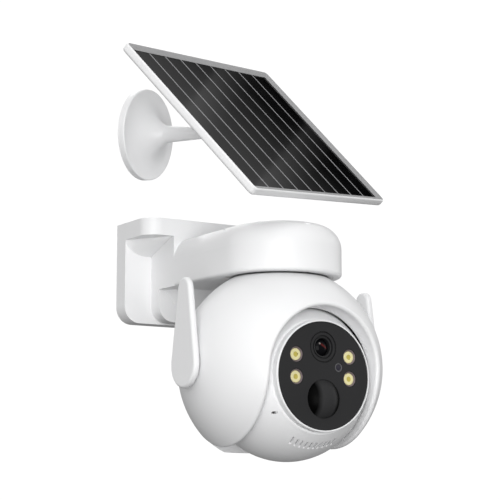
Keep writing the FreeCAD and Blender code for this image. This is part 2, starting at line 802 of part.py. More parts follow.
def eye_shells():
    """Front and rear halves of the inner ball, with the grille, microphone hole and bosses."""
    split = d.eye_split
    inner_r = d.eye_r - d.eye_wall
    outer = eye_solid(d.eye_r, d.eye_half_width)
    within = eye_solid(d.eye_r - 1, d.eye_half_width - 1)
    whole = cut(outer, eye_solid(inner_r, d.eye_half_width - d.eye_wall))
    axle = cut(common(cylinder(6.5, 80.0, (-40, 0, 0), "X"), outer),
               block(either(24.5), (-20, 20), (-20, 20)))
    front_zone = block((-60, 60), (-FACE_SEAT, split), (-60, 60))
    posts = [common(cylinder(2.6, 12.0, (x, split - 12, z), "Y"), within) for x, z in eye_screw_points()]
    front = common(fuse(whole, axle, *posts), front_zone)
    tools = [cylinder(26.6, 12.0, (0, -40, 0), "Y")]
    tools.append(cylinder(d.shaft_r, 12.0, (-34, 0, 0), "X"))
    tools.append(cylinder(4.0, 12.0, (23, 0, 0), "X"))
    for x, z in eye_screw_points():
        tools.append(cylinder(1.0, 10.0, (x, split - 10, z), "Y"))
    for i in range(GRILLE_SLOTS):
        x = GRILLE_HALF_SPAN * (2 * i / (GRILLE_SLOTS - 1) - 1)
        tools.append(block((x - SLIT_HALF, x + SLIT_HALF), (GRILLE_FRONT, GRILLE_BACK), (-44, -30)))
    tools.append(block(MIC_ENDS, (-36, -26), (MIC_Z - SLIT_HALF, MIC_Z + SLIT_HALF)))
    for x in MIC_ENDS:
        tools.append(cylinder(SLIT_HALF, 10.0, (x, -36, MIC_Z), "Y"))
    node("eye_front_shell", cut(front, *tools), eye_at())

    rear_zone = block((-60, 60), (split + 0.05, 60), (-60, 60))
    posts = [common(cylinder(3.6, 14.0, (x, split, z), "Y"), within) for x, z in eye_screw_points()]
    tools = []
    for x, z in eye_screw_points():
        tools.append(cylinder(1.15, 40.0, (x, split - 1, z), "Y"))
        tools.append(cylinder(2.3, 20.0, (x, split + 4, z), "Y"))
    node("eye_rear_shell", cut(common(fuse(whole, *posts), rear_zone), *tools), eye_at())
    screws = [screw(2.1, 1.4, 1.0, 9.0, (x, split + 4, z), "-Y") for x, z in eye_screw_points()]
    node("eye_screws", group(*screws), eye_at())


def face():
    """White bezel ring and the black front window with its openings."""
    front = -d.face_front
    ring = [(26.0, -FACE_SEAT), (26.0, front + d.face_thick), (d.face_r + 0.05, front + d.face_thick),
            (d.face_r + 0.05, front - 0.5), (d.bezel_r - 0.3, front - 0.5), (d.bezel_r, front - 0.1),
            (d.bezel_r, -FACE_SEAT)]
    node("bezel_ring", turned("BezelRing", ring, "XY_Plane"), eye_at())

    body = new_body("FacePanel")
    sketch = sketch_on(body, "XZ_Plane")
    draw_circle(sketch, 0, 0, d.face_r)
    draw_circle(sketch, 0, d.lens_z, d.lens_r)
    draw_circle(sketch, 0, -d.pir_z, d.pir_r)
    for x, z in led_points():
        draw_circle(sketch, x, z, d.led_r)
    draw_circle(sketch, d.light_x, d.light_z, d.light_r)
    pad(body, sketch, d.face_thick)
    at = eye_at()
    node("face_panel", body, (at[0], at[1] - d.face_front + d.face_thick, at[2]))


def led_points():
    return [(side * d.led_x, z) for side in (-1, 1) for z in (d.led_upper_z, -d.led_lower_z)]


def optics():
    """Image board, lens, spot lamps, light sensor and motion sensor behind the window."""
    back = -30.6
    board = cylinder(24.0, 1.4, (0, back, 0), "Y")
    chips = [block((-7, 7), (back + 1.4, back + 2.6), (8, 20)),
             block((-16, -4), (back + 1.4, back + 3.4), (-12, -6)),
             block((6, 18), (back + 1.4, back + 3.4), (-14, -8))]
    node("sensor_board", fuse(board, *chips), eye_at())

    front = -d.face_front
    barrel = [(3.2, back), (d.lens_r - 0.05, back), (d.lens_r - 0.05, front + 0.2), (7.5, front + 0.2),
              (7.5, front + 0.9), (d.lens_inner_r + 0.3, front + 0.9), (d.lens_inner_r + 0.3, front + 0.3),
              (d.lens_inner_r - 0.2, front + 0.3), (3.9, front + 1.7), (3.2, front + 1.7)]
    at = eye_at()
    on_face = (at[0], at[1], at[2] + d.lens_z)
    node("lens_barrel", turned("LensBarrel", barrel, "XY_Plane"), on_face)
    glass = common(ball(5.2, (0, front + 6.0, 0)), cylinder(3.15, 3.4, (0, front + 0.4, 0), "Y"))
    node("lens_glass", glass, on_face)

    lamps = [fuse(block((x - 1.75, x + 1.75), (back - 0.8, back), (z - 1.75, z + 1.75)),
                  cylinder(1.3, 0.3, (x, back - 1.1, z), "Y")) for x, z in led_points()]
    node("spot_lamps", group(*lamps), eye_at())
    cups = []
    for x, z in led_points():
        outer = cylinder(d.led_r - 0.05, 3.3, (x, front + 0.3, z), "Y")
        cups.append(cut(outer, cone(3.7, 2.6, 3.4, (x, front + 0.25, z), "Y")))
    node("lamp_reflectors", group(*cups), eye_at())
    sensor = fuse(cylinder(d.light_r - 0.05, 1.0, (d.light_x, front + 0.2, d.light_z), "Y"),
                  cylinder(1.5, 3.15, (d.light_x, front + 1.2, d.light_z), "Y"))
    node("light_sensor", sensor, eye_at())

    rim = d.pir_r - 0.1
    rise = d.pir_rise
    dome_r = (rim * rim + rise * rise) / (2 * rise)
    at_front = (0, front + 0.4, -d.pir_z)
    dome = common(ball(dome_r, (0, front + 0.4 - rise + dome_r, -d.pir_z)),
                  block((-20, 20), (-60, front + 0.4), (-60, 60)))
    skirt = cylinder(rim, 2.0, at_front, "Y")
    inner = ball(dome_r - 1.0, (0, front + 0.4 - rise + dome_r, -d.pir_z))
    tube = cylinder(rim - 1.0, 4.0, (0, front - 0.5, -d.pir_z), "Y")
    node("pir_lens", cut(fuse(dome, skirt), inner, tube), eye_at())
    can = fuse(cylinder(4.6, 0.6, (0, back - 0.6, -d.pir_z), "Y"),
               cylinder(4.1, 2.4, (0, back - 3.0, -d.pir_z), "Y"))
    node("pir_sensor", can, eye_at())


def sound():
    """Speaker behind the grille and the microphone capsule behind its hole."""
    grille = V(0, -24.3, -35.8)
    grille.normalize()
    turn = FreeCAD.Rotation(Z_AXIS, grille)
    frame = doc.addObject("Part::Cone", "SpeakerFrame")
    frame.Radius1 = 7.0
    frame.Radius2 = 10.0
    frame.Height = 3.0
    magnet = doc.addObject("Part::Cylinder", "SpeakerMagnet")
    magnet.Radius = 6.0
    magnet.Height = 3.0
    magnet.Placement = FreeCAD.Placement(V(0, 0, -3.0), FreeCAD.Rotation())
    rim = doc.addObject("Part::Cylinder", "SpeakerRim")
    rim.Radius = 10.6
    rim.Height = 0.8
    rim.Placement = FreeCAD.Placement(V(0, 0, 3.0), FreeCAD.Rotation())
    speaker = fuse(frame, magnet, rim)
    at = eye_at()
    offset = grille * 32.5
    node("speaker", speaker, (at[0] + offset.x, at[1] + offset.y, at[2] + offset.z), turn)
    capsule = cylinder(2.0, 2.0, (-24.6, -22.4, -19.2), "Y")
    node("microphone", capsule, eye_at())


# ---------------------------------------------------------------------------------------------
# Aerials
# ---------------------------------------------------------------------------------------------



def aerial(side):
    """A flat paddle: a round lobe on the pivot, narrowing to a round tip."""
    low_r = float(d.aerial_lobe_r)
    tip_r = float(d.aerial_tip_r)
    tip = V(-float(d.aerial_tip_lean), float(d.aerial_tip_rise), 0)
    reach = tip.Length
    heading = math.atan2(tip.y, tip.x)
    spread = math.acos((low_r - tip_r) / reach)
    left = heading + spread
    right = heading - spread

    def on(centre, radius, angle):
        return centre + V(radius * math.cos(angle), radius * math.sin(angle), 0)

    body = new_body("Aerial")
    sketch = sketch_on(body, "YZ_Plane")
    lobe_arc = Part.ArcOfCircle(Part.Circle(V(), Z_AXIS, low_r), left, right + 2 * math.pi)
    tip_arc = Part.ArcOfCircle(Part.Circle(tip, Z_AXIS, tip_r), right, left)
    sketch.addGeometry(lobe_arc, False)
    sketch.addGeometry(Part.LineSegment(on(V(), low_r, right), on(tip, tip_r, right)), False)
    sketch.addGeometry(tip_arc, False)
    sketch.addGeometry(Part.LineSegment(on(tip, tip_r, left), on(V(), low_r, left)), False)
    for i in range(4):
        sketch.addConstraint(Sketcher.Constraint("Tangent", i, 2, (i + 1) % 4, 1))
    pin_point(sketch, 0, 3, 0, 0)
    pin_point(sketch, 2, 3, -d.aerial_tip_lean, d.aerial_tip_rise)
    for geometry, radius in ((0, d.aerial_lobe_r), (2, d.aerial_tip_r)):
        rule = sketch.addConstraint(Sketcher.Constraint("Radius", geometry, float(radius)))
        sketch.setExpression(f"Constraints[{rule}]", radius.text)
    pad(body, sketch, d.aerial_thick, middle=True)
    half = float(d.aerial_thick) / 2
    fillet_body(body, d.aerial_round, lambda e: abs(abs(e.BoundBox.Center.x) - half) < 1e-3)
    inward = "X" if side < 0 else "-X"
    skin = d.aerial_thick / 2 - AERIAL_SKIN
    blind = cylinder(d.aerial_pin_r + d.running_gap, d.aerial_thick, (side * skin, 0, 0), inward)
    paddle = cut(body, blind)
    at = head_at()
    name = "aerial_left" if side < 0 else "aerial_right"
    node(name, paddle, (side * d.aerial_x, at[1] + d.aerial_pivot_y, at[2]))


def aerial_pins():
    """Hinge pins fixed in the head's sides, each ending in the paddle's blind hole."""
    start = 51.5
    length = d.aerial_x + d.aerial_thick / 2 - AERIAL_SKIN - 0.15 - start
    pins = []
    for side, axis in ((-1, "-X"), (1, "X")):
        at = (side * start, d.aerial_pivot_y, 0)
        pins.append(cylinder(d.aerial_pin_r, length, at, axis))
    node("aerial_pins", group(*pins), head_at())


# ---------------------------------------------------------------------------------------------
# Service port on the arm's right side
# ---------------------------------------------------------------------------------------------

def service_port():
    """Charging socket and reset button under a hinged rubber flap."""
    side = d.arm_half_width
    mid_z = (d.port_high - d.port_low) / 2
    shell = block((25.6, side - d.port_recess - 0.1), (-95.1, -85.9), (mid_z - 1.75, mid_z + 1.75))
    mouth = block((27.0, 40), (-94.6, -86.4), (mid_z - 1.25, mid_z + 1.25))
    tongue = block((26.5, 31.2), (-93.4, -87.6), (mid_z - 0.35, mid_z + 0.35))
    node("charge_socket", fuse(cut(shell, mouth), tongue))
    node("reset_button", cylinder(1.75, 3.3, (28.55, -76.0, mid_z), "X"))
    node("reset_switch", block((26.6, 28.0), (-78.0, -74.0), (mid_z - 2, mid_z + 1.6)))
    gap = d.flap_gap
    top = d.port_high - 0.5
    flap = block((side - d.port_recess + 0.05, side + 0.15), (-d.port_front + gap, -d.port_back - gap),
                 (-d.port_low + gap, top))
    knuckle = cylinder(0.45, d.port_front - d.port_back - 2 * gap,
                       (side - 0.3, -d.port_front + gap, top), "Y")
    node("port_flap", fuse(flap, knuckle))


# ---------------------------------------------------------------------------------------------
# Solar unit
# ---------------------------------------------------------------------------------------------

def rotation(yaw, tilt, roll):
    """Turn about Z, then X, then Y, each in the frame turned so far."""
    turn = FreeCAD.Rotation(Z_AXIS, float(yaw))
    turn = turn.multiply(FreeCAD.Rotation(X_AXIS, float(tilt)))
    return turn.multiply(FreeCAD.Rotation(Y_AXIS, float(roll)))


def base_rotation():
    return rotation(d.base_yaw, d.base_lean, 0)


def panel_rotation():
    return rotation(d.panel_yaw, -d.panel_tilt, -d.panel_roll)


def base_at():
    return (-d.base_x, -d.base_y, d.base_z)


def joint_centre():
    outward = base_rotation().multVec(V(0, -float(d.joint_ball), 0))
    return V(*[float(c) for c in base_at()]) + outward


def panel_origin():
    """The centre of the panel's front face."""
    back = V(0, float(d.panel_stand), float(d.panel_shift))
    return joint_centre() - panel_rotation().multVec(back)


def base_node(label, obj):
    node(label, obj, base_at(), base_rotation())


def solar_base():
    """Trumpet-shaped wall rose with its stem, the plate it snaps over, and the ball stud."""
    body = new_body("SolarBase")
    sketch = sketch_on(body, "XY_Plane")
    r = float(d.base_r)
    rim = -float(d.base_rim)
    root_r = float(d.stem_root_r)
    root_y = -float(d.stem_root)
    tip_r = float(d.stem_tip_r)
    tip_y = -float(d.stem_tip)
    flare = Part.Arc(V(r - 0.9, rim - 0.9, 0), V(11.0, -8.4, 0), V(root_r, root_y, 0))
    path = [V(0, -9.0, 0), V(5.0, -8.0, 0), V(12.0, -5.8, 0), V(20.0, -3.9, 0), V(r - 2.2, -2.6, 0),
            V(r - 2.2, 0, 0), V(r, 0, 0), V(r, rim, 0)]
    for a, b in zip(path, path[1:]):
        sketch.addGeometry(Part.LineSegment(a, b), False)
    sketch.addGeometry(Part.Arc(V(r, rim, 0), V(r - 0.25, rim - 0.65, 0), V(r - 0.9, rim - 0.9, 0)), False)
    sketch.addGeometry(flare, False)
    sketch.addGeometry(Part.LineSegment(V(root_r, root_y, 0), V(tip_r, tip_y, 0)), False)
    sketch.addGeometry(Part.LineSegment(V(tip_r, tip_y, 0), V(0, tip_y, 0)), False)
    sketch.addGeometry(Part.LineSegment(V(0, tip_y, 0), path[0]), False)
    feature = body.newObject("PartDesign::Revolution", "Revolution")
    feature.Profile = sketch
    feature.ReferenceAxis = (sketch, ["V_Axis"])
    feature.Angle = 360.0
    doc.recompute()
    bore = cylinder(d.stud_r + d.running_gap, 12.0, (0, -d.stem_tip - 2, 0), "Y")
    base_node("solar_base", cut(body, bore))

    plate = new_body("SolarBasePlate")
    sketch = sketch_on(plate, "XZ_Plane")
    draw_circle(sketch, 0, 0, d.base_r - 2.3)
    for i in range(3):
        angle = math.radians(90 + 120 * i)
        draw_circle(sketch, d.base_screw_circle * math.cos(angle), d.base_screw_circle * math.sin(angle),
                    d.base_screw_r)
    pad(plate, sketch, 2.4)
    base_node("solar_base_plate", plate)

    stud = fuse(cylinder(d.stud_r, d.joint_ball - d.stem_tip + 9, (0, -d.joint_ball, 0), "Y"),
                ball(d.joint_ball_r, (0, -d.joint_ball, 0)))
    base_node("ball_stud", stud)


def panel_node(label, obj):
    at = panel_origin()
    node(label, obj, (at.x, at.y, at.z), panel_rotation())


def ball_socket():
    """Cup and lock collar that clamp the ball, with the threaded spigot that the panel turns on."""
    z = d.panel_shift
    y = d.panel_stand
    seat = d.panel_depth + 2.5
    cup = cylinder(10.5, y - seat, (0, seat, z), "Y")
    spigot = cylinder(SPIGOT_R, 3.2, (0, seat - 3.2, z), "Y")
    panel_node("ball_cup", cut(fuse(cup, spigot), ball_seat()))
    collar = fuse(cylinder(12.5, 8.5, (0, y - 6.5, z), "Y"), cone(12.5, 11.3, 1.0, (0, y + 2.0, z), "Y"))
    mouth = cone(6.6, 10.5, 2.2, (0, y + 1.2, z), "Y")
    angles = [2 * math.pi * i / 16 for i in range(16)]
    grip = [cylinder(1.2, 12.0, (13.1 * math.cos(a), y - 7, z + 13.1 * math.sin(a)), "Y") for a in angles]
    bore = cylinder(10.55, 6.65, (0, y - 6.6, z), "Y")
    panel_node("lock_collar", cut(collar, bore, ball_seat(), mouth, *grip))




def ball_seat():
    return ball(d.joint_ball_r + d.running_gap, (0, d.panel_stand, d.panel_shift))


def sloped_pocket(half_x, half_z):
    """The frame's recess: full size at the front, narrowing by the border at the slope's foot."""
    border = d.panel_border
    lip = 0.5
    pocket = doc.addObject("Part::Wedge", "Pocket")
    sizes = {"Xmin": -half_x + lip, "Xmax": half_x - lip, "Zmin": -half_z + lip, "Zmax": half_z - lip,
             "X2min": -half_x + border, "X2max": half_x - border,
             "Z2min": -half_z + border, "Z2max": half_z - border, "Ymax": d.panel_slope}
    pocket.Ymin = 0
    for prop, quantity in sizes.items():
        drive(pocket, prop, quantity)
    return pocket


def solar_panel():
    """Frame, back shell, cell sheet, junction box and its gland."""
    half_x = d.panel_length / 2
    half_z = d.panel_width / 2
    border = d.panel_border
    sheet_front = d.panel_slope + 0.2
    sheet_back = sheet_front + d.laminate
    outer = rounded(block(either(half_x), (0, d.panel_depth), either(half_z)), d.panel_corner,
                    along_wall_normal)
    inner = block(either(half_x - border), (-1, d.panel_depth + 1), either(half_z - border))
    rebate = block(either(half_x - 2.0), (sheet_front, sheet_back), either(half_z - 2.0))
    panel_node("panel_frame", cut(outer, inner, rebate, sloped_pocket(half_x, half_z)))
    sheet = block(either(half_x - 2.1), (sheet_front + 0.05, sheet_back - 0.05), either(half_z - 2.1))
    panel_node("solar_laminate", sheet)

    plate_back = d.panel_depth - 0.2
    plate = block(either(half_x - border - 0.05), (sheet_back + 0.05, plate_back),
                  either(half_z - border - 0.05))
    hub_start = sheet_back + 0.3
    hub = cylinder(14.0, d.panel_depth + 2.45 - hub_start, (0, hub_start, d.panel_shift), "Y")
    ribs = []
    for x in (-50.0, 50.0):
        rib_depth = (d.panel_depth - 0.5, d.panel_depth + 1.2)
        ribs.append(block((x - 1.2, x + 1.2), rib_depth, either(half_z - 12)))
    hole = cylinder(SPIGOT_R + 0.05, 20.0, (0, hub_start, d.panel_shift), "Y")
    panel_node("panel_back", cut(fuse(plate, hub, *ribs), hole))

    box_side = 13.0
    box = block(either(box_side), (plate_back, d.panel_depth + 7), (-40, -22))
    panel_node("junction_box", rounded(box, 1.5, along_wall_normal))
    gland_y = d.panel_depth + 3.4
    gland = cylinder(3.4, 7.0, (box_side, gland_y, -31.0), "X")
    gland_bore = cylinder(1.7, 8.0, (box_side - 0.5, gland_y, -31.0), "X")
    panel_node("cable_gland", cut(gland, gland_bore))
    screws = []
    for sx in (-1, 1):
        for sz in (-1, 1):
            at = (sx * (half_x - 7), plate_back, sz * (half_z - 7))
            screws.append(cylinder(2.4, 1.1, at, "Y"))
    panel_node("panel_screws", group(*screws))


# ---------------------------------------------------------------------------------------------
# Build, check and write
# ---------------------------------------------------------------------------------------------

arm_bracket()
wall_plate()
arm_cover()
battery()
pan_drive()
head_shell()
rear_cover()
head_chassis()
main_board()
tilt_drive()
eye_shells()
face()
optics()
sound()
for side in (-1, 1):
    aerial(side)
aerial_pins()
service_port()
solar_base()
ball_socket()
solar_panel()
doc.recompute()

failed = [obj.Name for obj in doc.Objects if {"Invalid", "Error"} & set(obj.State)]
if failed:
    raise SystemExit(f"failed objects: {failed}")
for label, obj in nodes.items():
    if obj.Shape.isNull() or not obj.Shape.isValid() or not obj.Shape.Solids:
        raise SystemExit(f"bad shape: {label}")

os.makedirs("parts", exist_ok=True)
for label, obj in nodes.items():
    obj.Shape.exportStep(f"parts/{label}.step")
    box = obj.Shape.BoundBox
    print(f"{label}: {len(obj.Shape.Solids)} solids, {obj.Shape.Volume:.1f} mm3, "
          f"x {box.XMin:.2f} {box.XMax:.2f} y {box.YMin:.2f} {box.YMax:.2f} z {box.ZMin:.2f} {box.ZMax:.2f}")
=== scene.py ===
"""How the camera and its solar panel look: finishes, fine pieces, studio light and viewpoint.

Lengths are in metres, in the same frame as the CAD.
"""
import json
import math

import bmesh
import bpy
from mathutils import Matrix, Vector


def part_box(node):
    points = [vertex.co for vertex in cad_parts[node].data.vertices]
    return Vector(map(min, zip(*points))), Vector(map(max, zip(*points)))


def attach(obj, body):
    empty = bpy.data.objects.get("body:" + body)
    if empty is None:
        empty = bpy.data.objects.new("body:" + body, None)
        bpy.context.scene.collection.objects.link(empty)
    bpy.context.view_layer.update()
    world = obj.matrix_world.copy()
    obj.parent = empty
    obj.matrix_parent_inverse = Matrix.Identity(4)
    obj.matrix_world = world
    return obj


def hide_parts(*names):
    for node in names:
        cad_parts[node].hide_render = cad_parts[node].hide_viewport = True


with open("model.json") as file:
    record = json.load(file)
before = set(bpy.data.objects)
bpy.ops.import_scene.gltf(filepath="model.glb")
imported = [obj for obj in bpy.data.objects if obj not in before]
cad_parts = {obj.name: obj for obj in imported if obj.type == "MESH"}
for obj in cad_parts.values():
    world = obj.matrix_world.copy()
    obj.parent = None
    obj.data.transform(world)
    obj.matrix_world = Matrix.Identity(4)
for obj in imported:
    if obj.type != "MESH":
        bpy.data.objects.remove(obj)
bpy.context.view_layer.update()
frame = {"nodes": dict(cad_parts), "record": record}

MM = 0.001
scene = bpy.context.scene
NODES = frame["nodes"]
SLOT_OF = {part["node"]: part["material_slot"] for part in frame["record"]["subparts"]}


def middle(label):
    """The middle of a node's box."""
    low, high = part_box(label)
    return (low + high) / 2


def radius(label):
    """Half the width of a round node."""
    low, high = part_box(label)
    return (high.x - low.x) / 2


# ---------------------------------------------------------------------------------------------
# Shader nodes
# ---------------------------------------------------------------------------------------------

NOISE_SPAN = (0.3, 0.7)  # most of a noise's values lie in here
SPOT_CORE = 0.2  # the share of a spot's area that is at full strength


class Nodes:
    """A short way to add and join the nodes of one tree."""

    def __init__(self, tree):
        self.tree = tree

    def add(self, kind, **inputs):
        node = self.tree.nodes.new(kind)
        for key, value in inputs.items():
            self.feed(node.inputs[key], value)
        return node

    def feed(self, socket, value):
        if isinstance(value, bpy.types.NodeSocket):
            self.tree.links.new(value, socket)
        else:
            socket.default_value = value

    def calc(self, operation, *values):
        node = self.add("ShaderNodeMath")
        node.operation = operation
        for socket, value in zip(node.inputs, values):
            self.feed(socket, value)
        return node.outputs[0]

    def dot(self, first, second):
        node = self.add("ShaderNodeVectorMath")
        node.operation = "DOT_PRODUCT"
        self.feed(node.inputs[0], first)
        self.feed(node.inputs[1], tuple(second))
        return node.outputs["Value"]

    def span(self, value, low, high, to_low, to_high):
        """Runs from to_low to to_high as the value goes from low to high, and stays there past both ends."""
        node = self.add("ShaderNodeMapRange")
        for key, number in (("Value", value), ("From Min", low), ("From Max", high),
                            ("To Min", to_low), ("To Max", to_high)):
            self.feed(node.inputs[key], number)
        return node.outputs["Result"]

    def mix(self, factor, first, second):
        """A colour between two."""
        node = self.add("ShaderNodeMix", Factor=factor)
        node.data_type = "RGBA"
        for socket, value in ((node.inputs[6], first), (node.inputs[7], second)):
            self.feed(socket, (*value, 1.0) if isinstance(value, tuple) else value)
        return node.outputs[2]

    def blend(self, factor, first, second):
        """A number between two."""
        node = self.add("ShaderNodeMix", Factor=factor)
        self.feed(node.inputs[2], first)
        self.feed(node.inputs[3], second)
        return node.outputs[0]


class Finish(Nodes):
    """A new material: its nodes, its shader and the place on the object that its patterns follow."""

    def __init__(self, name):
        self.material = bpy.data.materials.new(name)
        self.material.use_nodes = True
        super().__init__(self.material.node_tree)
        self.shader = self.tree.nodes["Principled BSDF"]
        self.where = self.add("ShaderNodeTexCoord").outputs["Object"]

    def set(self, **inputs):
        for key, value in inputs.items():
            self.feed(self.shader.inputs[key.replace("_", " ")], value)

    def noise(self, scale, detail=3.0, roughness=0.55, where=None):
        node = self.add("ShaderNodeTexNoise", Scale=scale, Detail=detail, Roughness=roughness)
        self.feed(node.inputs["Vector"], where or self.where)
        return node.outputs["Fac"]

    def drift(self, scale, low, high, detail=3.0):
        """A number that wanders between low and high over the surface."""
        return self.span(self.noise(scale, detail), *NOISE_SPAN, low, high)

    def cells(self, scale):
        """A pattern of small irregular cells."""
        return self.add("ShaderNodeTexVoronoi", Vector=self.where, Scale=scale)

    def bump(self, height, distance, strength=1.0):
        node = self.add("ShaderNodeBump", Height=height, Distance=distance, Strength=strength)
        return node.outputs["Normal"]

    def offset(self, label):
        """How far to the right of a node's middle, and how far above it, a point lies."""
        place = self.add("ShaderNodeSeparateXYZ", Vector=self.where).outputs
        centre = middle(label)
        return self.calc("SUBTRACT", place["X"], centre.x), self.calc("SUBTRACT", place["Z"], centre.z)

    def spot(self, x, y, centre, radii, turn=0.0):
        """1 in the middle of a turned ellipse, fading to 0 at its edge."""
        x = self.calc("SUBTRACT", x, centre[0])
        y = self.calc("SUBTRACT", y, centre[1])
        cosine = math.cos(turn)
        sine = math.sin(turn)
        along = self.calc("ADD", self.calc("MULTIPLY", x, cosine), self.calc("MULTIPLY", y, sine))
        across = self.calc("SUBTRACT", self.calc("MULTIPLY", y, cosine), self.calc("MULTIPLY", x, sine))
        along = self.calc("POWER", self.calc("DIVIDE", along, radii[0]), 2.0)
        across = self.calc("POWER", self.calc("DIVIDE", across, radii[1]), 2.0)
        return self.span(self.calc("ADD", along, across), SPOT_CORE, 1.0, 1.0, 0.0)


def shaded(colour, factor):
    """A darker shade of a colour."""
    return tuple(channel * factor for channel in colour)


# ---------------------------------------------------------------------------------------------
# Materials
# ---------------------------------------------------------------------------------------------

# Painted shade: narrow gaps and crevices are darkened by how enclosed they are, standing in for the shade
# that falls in them.
PAINTED_SHADE_REACH = 2.2 * MM
PAINTED_SEAM_SHADE = 0.12
PAINTED_SHADE_OPENNESS = (0.05, 0.42)  # where a seam is darkest, and where it has gone


def moulded(name, colour, rough, grain=900.0, depth=0.03, tint=0.03, gloss=0.5, painted_seam_shade=False):
    """Moulded plastic or rubber: fine grain (depth in mm), faint flow marks, varied gloss and, where asked,
    painted shade that darkens narrow gaps and crevices by how enclosed they are.
    """
    f = Finish(name)
    flow = f.drift(22.0, 0.0, 1.0, detail=2.0)
    shade = f.mix(flow, colour, shaded(colour, 1.0 - tint))
    if painted_seam_shade:
        # Painted shade: ambient occlusion darkens the colour where the surface is enclosed.
        openness = f.add("ShaderNodeAmbientOcclusion", Distance=PAINTED_SHADE_REACH).outputs["AO"]
        shade = f.mix(f.span(openness, *PAINTED_SHADE_OPENNESS, 0.0, 1.0), shaded(colour, PAINTED_SEAM_SHADE), shade)
    grains = f.noise(grain, detail=4.0, roughness=0.6)
    f.set(Base_Color=shade, Roughness=f.drift(60.0, rough * 0.9, rough * 1.12))
    f.set(Specular_IOR_Level=gloss, Normal=f.bump(grains, depth * MM, strength=0.6))
    return f.material


def metal(name, colour, rough, stretch=(1.0, 1.0, 30.0)):
    """Bare metal with fine drawn or turned lines and slightly dull patches."""
    f = Finish(name)
    stretched = f.add("ShaderNodeMapping", Vector=f.where, Scale=stretch).outputs["Vector"]
    lines = f.noise(220.0, detail=4.0, roughness=0.7, where=stretched)
    dull = f.span(f.noise(70.0), 0.35, 0.7, 0.0, 1.0)
    f.set(Base_Color=f.mix(dull, colour, shaded(colour, 0.72)), Metallic=1.0)
    f.set(Roughness=f.span(lines, *NOISE_SPAN, rough * 0.75, rough * 1.3))
    f.set(Normal=f.bump(lines, 0.02 * MM, strength=0.4))
    return f.material


def board_finish():
    """Green solder mask over copper tracks, with tinned pads."""
    f = Finish("board_finish")
    runs = f.cells(380.0)
    runs.distance = "CHEBYCHEV"
    track = f.span(runs.outputs["Distance"], 0.28, 0.32, 0.0, 1.0)
    tinned = f.span(f.cells(260.0).outputs["Distance"], 0.1, 0.13, 1.0, 0.0)
    mask = f.mix(track, (0.015, 0.17, 0.07), (0.008, 0.1, 0.04))
    f.set(Base_Color=f.mix(tinned, mask, (0.62, 0.62, 0.58)), Metallic=tinned, Roughness=0.35)
    f.set(Normal=f.bump(track, 0.04 * MM))
    return f.material


def glass_finish():
    """Dark coated glass with a painted reflection in its colour: a faint slanting red streak and a pinpoint
    white highlight.
    """
    f = Finish("lens_glass_finish")
    across, up = f.offset("lens_glass")
    # Painted reflection: the red streak and the white pinpoint highlight are painted into the glass's colour.
    painted_flare = f.spot(across, up, (0.7 * MM, 0.6 * MM), (3.1 * MM, 0.75 * MM), math.radians(-32))
    painted_glint = f.spot(across, up, (-1.5 * MM, 1.9 * MM), (0.6 * MM, 0.6 * MM))
    tint = f.mix(painted_flare, (0.004, 0.004, 0.005), (0.085, 0.014, 0.013))
    f.set(Base_Color=f.mix(painted_glint, tint, (0.22, 0.2, 0.19)), Specular_IOR_Level=0.06)
    f.set(Roughness=f.drift(40.0, 0.05, 0.09))
    return f.material


def dome_finish():
    """Dark moulded lens with painted light: a charcoal painted reflection over the middle, black painted
    shade towards its left side and its rim.
    """
    f = Finish("pir_dome_painted_light_finish")
    across = f.calc("DIVIDE", f.offset("pir_lens")[0], radius("pir_lens"))
    # Painted reflection and shade across the dome, by how far right of its middle a point lies.
    band = f.calc("MULTIPLY", f.span(across, -0.6, -0.34, 0.0, 1.0), f.span(across, 0.42, 0.66, 1.0, 0.0))
    f.set(Base_Color=f.mix(band, (0.0015, 0.0015, 0.0015), (0.034, 0.034, 0.035)), Specular_IOR_Level=0.03)
    f.set(Roughness=f.drift(60.0, 0.36, 0.44), Normal=f.bump(f.noise(500.0), 0.01 * MM, strength=0.6))
    return f.material


def cell_finish():
    """Dark silicon under clear laminate: fine silver fingers across the strips and faint crystal patches."""
    finger_pitch = 1.4 * MM
    f = Finish("solar_cell_finish")
    flat = f.add("ShaderNodeTexCoord").outputs["UV"]
    up = f.add("ShaderNodeSeparateXYZ", Vector=flat).outputs["Y"]
    wave = f.calc("SINE", f.calc("MULTIPLY", up, 2 * math.pi / finger_pitch))
    finger = f.calc("MULTIPLY", f.span(wave, 0.6, 1.0, 0.0, 1.0), 0.5)
    dark = f.mix(f.cells(90.0).outputs["Color"], (0.0004, 0.0004, 0.0005), (0.0012, 0.0012, 0.0015))
    f.set(Base_Color=f.mix(finger, dark, (0.004, 0.004, 0.0045)), Specular_IOR_Level=0.06)
    f.set(Roughness=f.drift(35.0, 0.05, 0.08), Normal=f.bump(f.noise(500.0), 0.004 * MM, strength=0.3))
    return f.material


